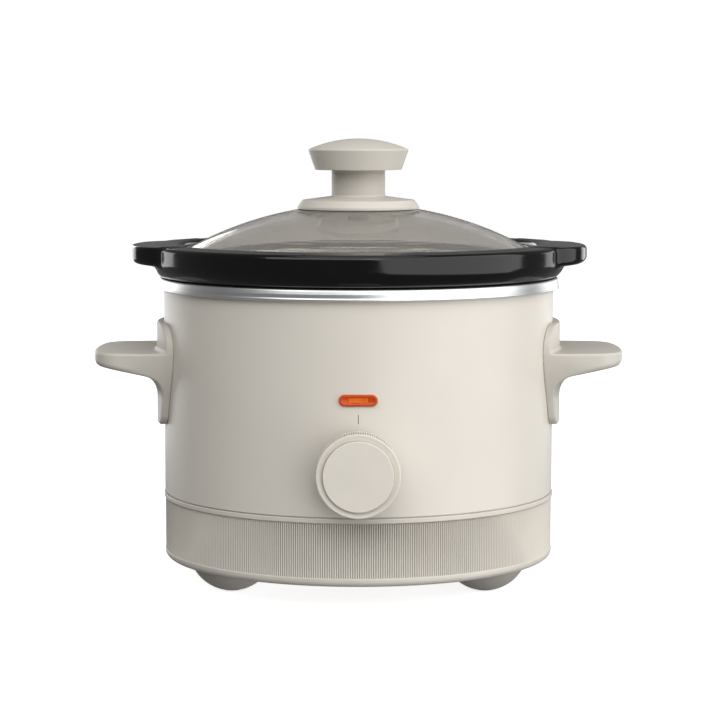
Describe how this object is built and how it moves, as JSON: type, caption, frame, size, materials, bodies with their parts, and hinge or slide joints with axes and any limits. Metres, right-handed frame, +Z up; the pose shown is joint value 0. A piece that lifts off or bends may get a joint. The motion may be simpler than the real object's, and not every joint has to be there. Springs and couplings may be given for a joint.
{
  "type": "slow cooker",
  "caption": "Round countertop slow cooker: black stoneware crock with side lugs, domed glass lid with mushroom knob, satin oat base with side handles, turning dial, amber pilot light and feet.",
  "frame": {"origin": "centre of the overall footprint, on the surface it stands on", "axes": "+Z up; -Y towards the front, where the dial and pilot light are; the side handles lie along X. The cooker's own vertical axis is at Y +6.0 mm."},
  "size_m": [0.2574, 0.2136, 0.2155],
  "materials": {
    "moulded_base": "satin, warm oat colour",
    "foot_plastic": "satin, darker greige",
    "pad_rubber": "matt black",
    "zinc_steel": "bright zinc plate",
    "shell_paint": "satin, warm oat colour",
    "liner_aluminium": "bright rolled rim, satin inside",
    "heater_steel": "satin",
    "fuse_case": "satin",
    "amber_lens": "glossy translucent amber",
    "lamp_glass": "clear",
    "dark_plastic": "satin black",
    "brass_tabs": "satin",
    "dial_plastic": "satin, warm oat colour",
    "white_plastic": "satin",
    "handle_plastic": "satin, warm oat colour",
    "stoneware_glaze": "glossy black glaze",
    "lid_glass": "clear with a warm tint",
    "stainless_band": "polished",
    "knob_plastic": "satin, warm oat colour",
    "gasket_rubber": "matt black",
    "washer_plastic": "satin",
    "screw_dark": "satin",
    "lead_red": "insulated wire",
    "lead_white": "insulated wire"
  },
  "bodies": {
    "base": {"base_pan": "moulded_base", "cord_gland": "moulded_base", "crimp_connectors": "white_plastic", "foot_front_left": "foot_plastic", "foot_front_right": "foot_plastic", "foot_pad_front_left": "pad_rubber", "foot_pad_front_right": "pad_rubber", "foot_pad_rear": "pad_rubber", "foot_rear": "foot_plastic", "foot_screws": "zinc_steel", "fuse_clip": "zinc_steel", "handle_screws": "zinc_steel", "heater_band": "heater_steel", "heater_clamp_screws": "zinc_steel", "heating_liner": "liner_aluminium", "lamp_holder": "dark_plastic", "left_handle": "handle_plastic", "live_lead": "lead_red", "neon_lamp": "lamp_glass", "neutral_lead": "lead_white", "outer_shell": "shell_paint", "pilot_lens": "amber_lens", "right_handle": "handle_plastic", "rotary_switch": "dark_plastic", "switch_mount": "dark_plastic", "switch_mount_screws": "zinc_steel", "switch_terminals": "brass_tabs", "thermal_fuse": "fuse_case", "tie_nut": "zinc_steel", "tie_stud": "zinc_steel", "tie_washer": "zinc_steel"},
    "crock": {"crock": "stoneware_glaze"},
    "lid": {"lid_glass": "lid_glass", "lid_band": "stainless_band", "knob_collar": "knob_plastic", "knob_cap": "knob_plastic", "knob_gasket": "gasket_rubber", "knob_washer": "washer_plastic", "knob_screw": "screw_dark", "knob_insert": "brass_tabs"},
    "dial": {"dial_knob": "dial_plastic", "dial_face": "dial_plastic", "switch_shaft": "white_plastic", "switch_rotor": "white_plastic"}
  },
  "joints": [
    {"name": "crock_lift", "type": "slide", "parent": "base", "child": "crock", "axis": [0, 0, 1], "range_m": [0, 0.13]},
    {"name": "lid_lift", "type": "slide", "parent": "crock", "child": "lid", "axis": [0, 0, 1], "range_m": [0, 0.1]},
    {"name": "dial_turn", "type": "hinge", "parent": "base", "child": "dial", "pos_m": [0, 0, 0.0655], "axis": [0, 1, 0], "range_deg": [0, 270]}
  ]
}
